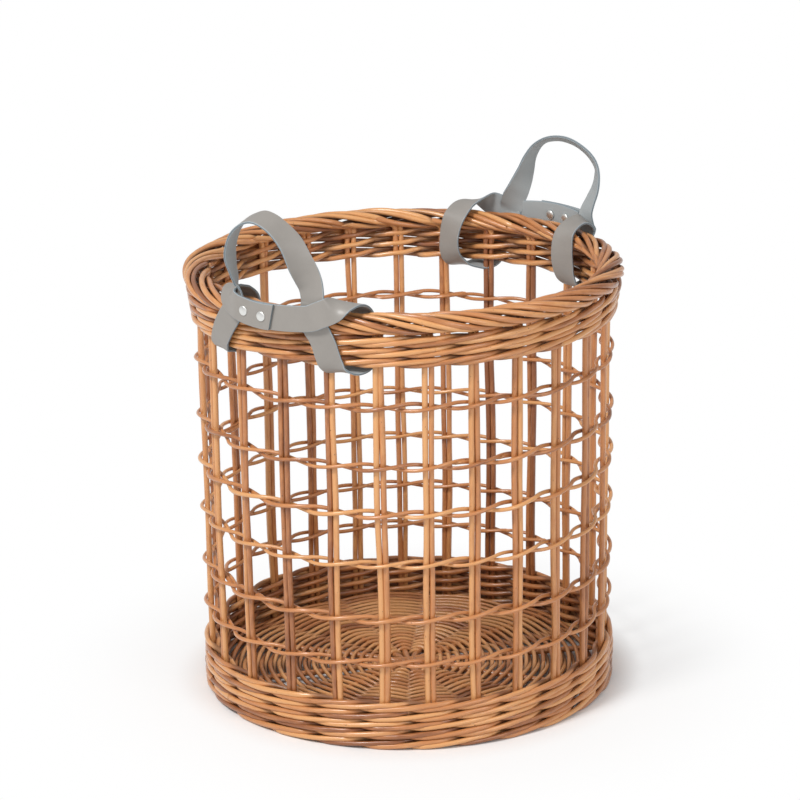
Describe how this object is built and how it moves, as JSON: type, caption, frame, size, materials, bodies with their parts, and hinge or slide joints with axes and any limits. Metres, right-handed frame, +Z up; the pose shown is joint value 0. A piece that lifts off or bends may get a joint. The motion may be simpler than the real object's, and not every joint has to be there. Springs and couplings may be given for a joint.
{
  "type": "wicker storage basket",
  "caption": "Round open-sided willow storage basket with woven foot, woven rim, rolled border, flat woven base and leather carrying loops that tilt on straps riveted round the rim.",
  "frame": {"origin": "centre of the bounding box of the basket, on the floor that its foot stands on", "axes": "+Z up along the basket's axis; +X towards the right carrying loop and -X towards the left one, which sit 6.7 and 3.2 degrees off it towards -Y; +Y completes the frame"},
  "size_m": [0.4804, 0.4329, 0.5302],
  "materials": {
    "willow": "satin",
    "willow_pale": "satin",
    "leather": "satin",
    "nickel": "polished"
  },
  "bodies": {
    "basket": {"stake_pair_01": "willow", "stake_pair_02": "willow", "stake_pair_03": "willow", "stake_pair_04": "willow", "stake_pair_05": "willow", "stake_pair_06": "willow", "stake_pair_07": "willow", "stake_pair_08": "willow", "stake_pair_09": "willow", "stake_pair_10": "willow", "stake_pair_11": "willow", "stake_pair_12": "willow", "stake_pair_13": "willow", "stake_pair_14": "willow", "stake_pair_15": "willow", "stake_pair_16": "willow", "stake_pair_17": "willow", "stake_pair_18": "willow", "stake_pair_19": "willow", "stake_pair_20": "willow", "stake_pair_21": "willow", "stake_pair_22": "willow", "stake_pair_23": "willow", "stake_pair_24": "willow", "pairing_1_weaver_a": "willow_pale", "pairing_1_weaver_b": "willow_pale", "pairing_2_weaver_a": "willow_pale", "pairing_2_weaver_b": "willow_pale", "pairing_3_weaver_a": "willow_pale", "pairing_3_weaver_b": "willow_pale", "pairing_4_weaver_a": "willow_pale", "pairing_4_weaver_b": "willow_pale", "pairing_5_weaver_a": "willow_pale", "pairing_5_weaver_b": "willow_pale", "pairing_6_weaver_a": "willow_pale", "pairing_6_weaver_b": "willow_pale", "foot_waling": "willow", "rim_waling": "willow", "rim_border": "willow", "base_weave": "willow_pale", "base_slath": "willow", "right_strap_under": "leather", "right_strap_over": "leather", "right_rivet_1": "nickel", "right_rivet_2": "nickel", "left_strap_under": "leather", "left_strap_over": "leather", "left_rivet_1": "nickel", "left_rivet_2": "nickel"},
    "right_handle": {"right_carry_loop": "leather"},
    "left_handle": {"left_carry_loop": "leather"}
  },
  "joints": [
    {"name": "right_handle_tilt", "type": "hinge", "parent": "basket", "child": "right_handle", "pos_m": [0.21024, -0.0247, 0.452], "axis": [0.1167, 0.9932, 0], "range_deg": [-60, 60]},
    {"name": "left_handle_tilt", "type": "hinge", "parent": "basket", "child": "left_handle", "pos_m": [-0.21136, -0.01182, 0.452], "axis": [0.0558, -0.9984, 0], "range_deg": [-60, 60]}
  ]
}
